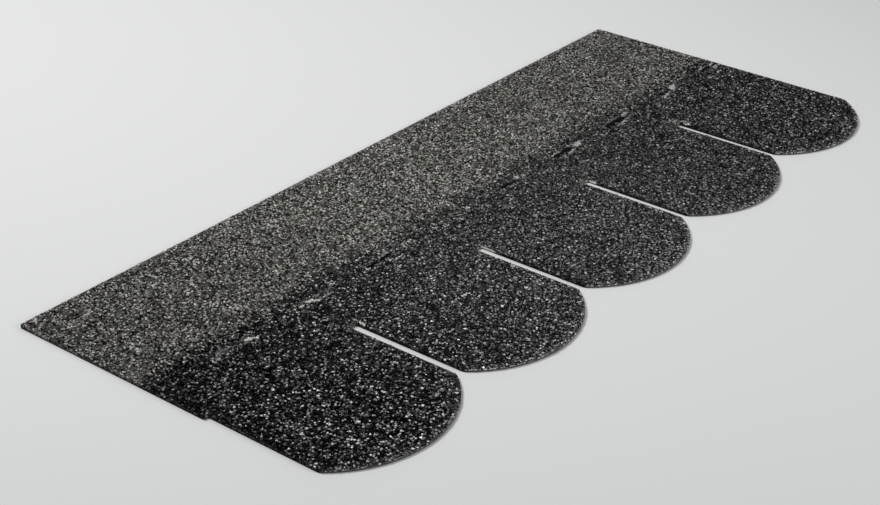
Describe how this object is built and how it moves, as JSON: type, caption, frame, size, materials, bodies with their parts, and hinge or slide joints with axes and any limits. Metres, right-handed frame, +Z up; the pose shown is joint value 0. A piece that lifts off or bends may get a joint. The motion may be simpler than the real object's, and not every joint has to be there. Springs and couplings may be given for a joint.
{
  "type": "asphalt shingle strip",
  "caption": "Flat granule-faced asphalt roofing strip with round-ended tabs parted by narrow slots, and a row of low sealant dabs above the slots.",
  "frame": {"origin": "middle of the strip's length and height, on the underside", "axes": "+X along the strip, +Y across it towards the straight head edge, so the round tab ends point to -Y, +Z up out of the granule face"},
  "size_m": [1, 0.4149, 0.0042],
  "materials": {
    "granule_sheet": "matte mineral granules on filled bitumen",
    "sealant": "half-glossy modified bitumen"
  },
  "bodies": {
    "root": {"shingle_strip": "granule_sheet", "sealant_dab_1": "sealant", "sealant_dab_2": "sealant", "sealant_dab_3": "sealant", "sealant_dab_4": "sealant", "sealant_dab_5": "sealant", "sealant_dab_6": "sealant", "sealant_dab_7": "sealant", "sealant_dab_8": "sealant", "sealant_dab_9": "sealant"}
  },
  "joints": []
}
